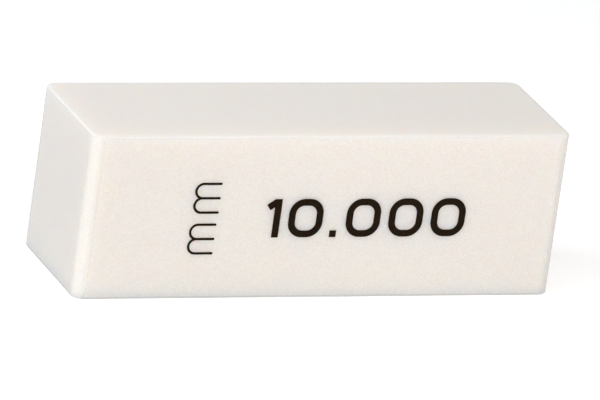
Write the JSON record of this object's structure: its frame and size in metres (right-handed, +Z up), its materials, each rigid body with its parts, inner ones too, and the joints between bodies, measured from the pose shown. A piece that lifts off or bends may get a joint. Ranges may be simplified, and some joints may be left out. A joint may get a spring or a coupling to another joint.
{
  "type": "gauge block",
  "caption": "Rectangular zirconia gauge block, a plain ground and lapped length standard with flat measuring faces and softly rounded edges.",
  "frame": {"origin": "centre of the lower measuring face", "axes": "+Z up along the measuring direction, from the lower to the upper measuring face; +X along the length of the cross-section; -Y out of the marked side face"},
  "size_m": [0.0298, 0.0088, 0.01],
  "materials": {
    "zirconia_ceramic": "satin"
  },
  "bodies": {
    "root": {"gauge_block": "zirconia_ceramic"}
  },
  "joints": []
}
